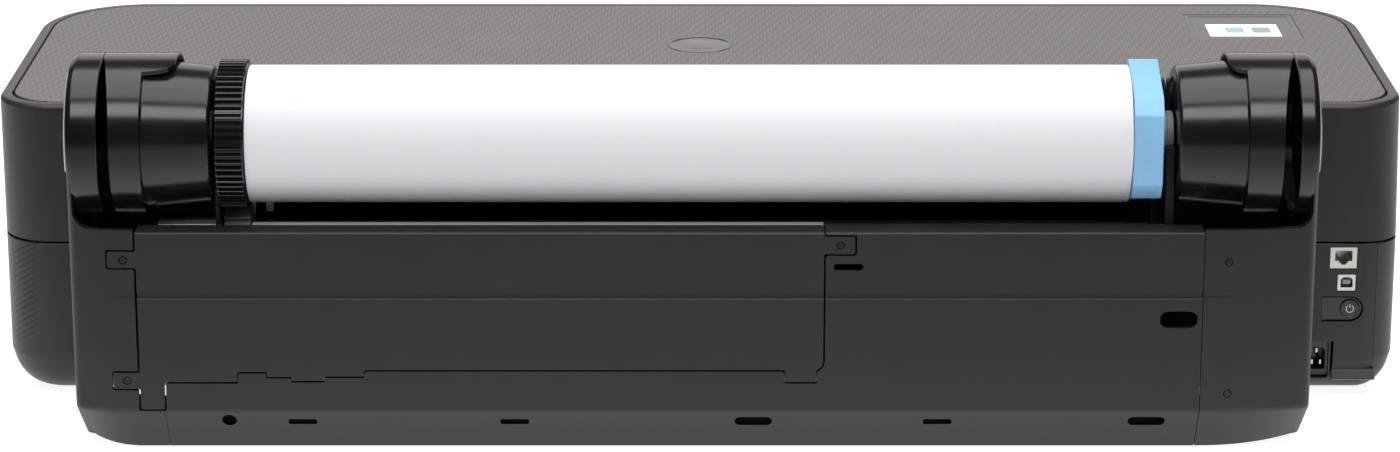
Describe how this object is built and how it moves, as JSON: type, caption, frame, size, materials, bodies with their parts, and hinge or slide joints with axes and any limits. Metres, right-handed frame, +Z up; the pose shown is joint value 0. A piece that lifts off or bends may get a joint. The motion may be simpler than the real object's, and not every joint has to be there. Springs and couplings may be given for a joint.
{
  "type": "large format plotter",
  "caption": "Desktop roll-fed plotter with a ribbed grey lid, a rear roll module with a lift-out spindle, an ink door and a small screen.",
  "frame": {"origin": "middle of the overall box in plan, on the surface it stands on", "axes": "+Z up, +X to the right of a person at the front, -Y towards that person, so the roll module is at +Y"},
  "size_m": [1.013, 0.44, 0.2785],
  "materials": {
    "lid_grey": "warm grey, fine short ribs",
    "shell_black": "fine brushed charcoal",
    "module_black": "matte charcoal",
    "gloss_black": "satin gloss black",
    "inner_black": "plain black",
    "stop_blue": "light blue",
    "paper_white": "white paper",
    "card_brown": "card",
    "steel": "plain steel",
    "rubber": "black rubber",
    "screen_white": "pale lit screen",
    "board_green": "green board",
    "part_grey": "grey plastic"
  },
  "bodies": {
    "chassis": {"access_cover": "module_black", "base_shell": "shell_black", "carriage_motor": "steel", "carriage_rail": "steel", "cradle_left": "inner_black", "cradle_right": "inner_black", "disc_cover_left": "gloss_black", "disc_cover_right": "gloss_black", "drive_belt": "rubber", "drive_motor": "steel", "end_cap_left": "module_black", "end_cap_right": "module_black", "feed_motor": "steel", "foot_left": "rubber", "foot_right": "rubber", "ink_bay": "part_grey", "lan_socket": "steel", "lid_hinge_left": "steel", "lid_hinge_right": "steel", "main_board": "board_green", "output_ramp": "inner_black", "platen": "inner_black", "port_plate": "shell_black", "power_inlet": "inner_black", "power_supply": "part_grey", "rear_panel": "module_black", "roll_deck": "inner_black", "screw_bracket": "steel", "screw_cap_lower": "steel", "screw_cap_upper": "steel", "screw_tab_lower": "steel", "screw_tab_upper": "steel", "service_station": "inner_black", "side_cover_left": "gloss_black", "side_cover_right": "gloss_black", "upper_shell": "shell_black", "usb_socket": "steel"},
    "lid": {"lid_panel": "lid_grey", "control_bezel": "gloss_black", "display_screen": "screen_white", "lid_badge": "gloss_black"},
    "spindle_carrier": {"bush_left": "part_grey", "bush_right": "part_grey"},
    "spindle": {"spindle_shaft": "inner_black", "drive_hub": "gloss_black", "stop_hub": "stop_blue", "roll_core": "card_brown", "paper_roll": "paper_white"},
    "pinion": {"drive_pinion": "part_grey"},
    "button": {"power_button": "shell_black"},
    "door": {"cartridge_door": "shell_black"},
    "feed_wheel": {"feed_roller": "rubber"},
    "pinch_wheel": {"pinch_roller": "rubber"},
    "ink_carriage": {"carriage": "inner_black"},
    "motor_wheel": {"motor_pulley": "part_grey"},
    "idler_wheel": {"idler_pulley": "part_grey"},
    "ink_1": {"cartridge_1": "inner_black"},
    "ink_2": {"cartridge_2": "inner_black"},
    "ink_3": {"cartridge_3": "inner_black"},
    "ink_4": {"cartridge_4": "inner_black"}
  },
  "joints": [
    {"name": "lid_hinge", "type": "hinge", "parent": "chassis", "child": "lid", "pos_m": [0, 0.0781, 0.2208], "axis": [-1, 0, 0], "range_deg": [0, 55]},
    {"name": "spindle_lift", "type": "slide", "parent": "chassis", "child": "spindle_carrier", "axis": [0, 0, 1], "range_m": [0, 0.115]},
    {"name": "spindle_spin", "type": "hinge", "parent": "spindle_carrier", "child": "spindle", "pos_m": [0, 0.163, 0.2215], "axis": [1, 0, 0], "continuous": true},
    {"name": "pinion_spin", "type": "hinge", "parent": "chassis", "child": "pinion", "pos_m": [0, 0.163, 0.15847], "axis": [1, 0, 0], "continuous": true},
    {"name": "button_press", "type": "hinge", "parent": "chassis", "child": "button", "pos_m": [-0.4513, 0.088, 0.0696], "axis": [0, 0, 1], "range_deg": [0, 3], "stiffness_Nm_per_rad": 0.5},
    {"name": "door_hinge", "type": "hinge", "parent": "chassis", "child": "door", "pos_m": [0.3785, -0.2185, 0.035], "axis": [1, 0, 0], "range_deg": [0, 85]},
    {"name": "feed_spin", "type": "hinge", "parent": "chassis", "child": "feed_wheel", "pos_m": [0, 0.035, 0.124], "axis": [1, 0, 0], "continuous": true},
    {"name": "pinch_spin", "type": "hinge", "parent": "chassis", "child": "pinch_wheel", "pos_m": [0, 0.035, 0.1424], "axis": [1, 0, 0], "continuous": true},
    {"name": "carriage_slide", "type": "slide", "parent": "chassis", "child": "ink_carriage", "axis": [1, 0, 0], "range_m": [-0.36, 0.36]},
    {"name": "motor_wheel_spin", "type": "hinge", "parent": "chassis", "child": "motor_wheel", "pos_m": [0.4445, 0.064, 0.192], "axis": [0, 1, 0], "range_deg": [-2250, 2250]},
    {"name": "idler_wheel_spin", "type": "hinge", "parent": "chassis", "child": "idler_wheel", "pos_m": [-0.4445, 0.064, 0.192], "axis": [0, 1, 0], "range_deg": [-2250, 2250]},
    {"name": "ink_1_slide", "type": "slide", "parent": "chassis", "child": "ink_1", "axis": [0, -1, 0], "range_m": [0, 0.005]},
    {"name": "ink_2_slide", "type": "slide", "parent": "chassis", "child": "ink_2", "axis": [0, -1, 0], "range_m": [0, 0.005]},
    {"name": "ink_3_slide", "type": "slide", "parent": "chassis", "child": "ink_3", "axis": [0, -1, 0], "range_m": [0, 0.005]},
    {"name": "ink_4_slide", "type": "slide", "parent": "chassis", "child": "ink_4", "axis": [0, -1, 0], "range_m": [0, 0.005]}
  ],
  "couplings": [
    {"joint": "pinion_spin", "follows": "spindle_spin", "ratio": -4},
    {"joint": "pinch_spin", "follows": "feed_spin", "ratio": -2},
    {"joint": "motor_wheel_spin", "follows": "carriage_slide", "rad_per_m": 108.7},
    {"joint": "idler_wheel_spin", "follows": "carriage_slide", "rad_per_m": 108.7}
  ]
}
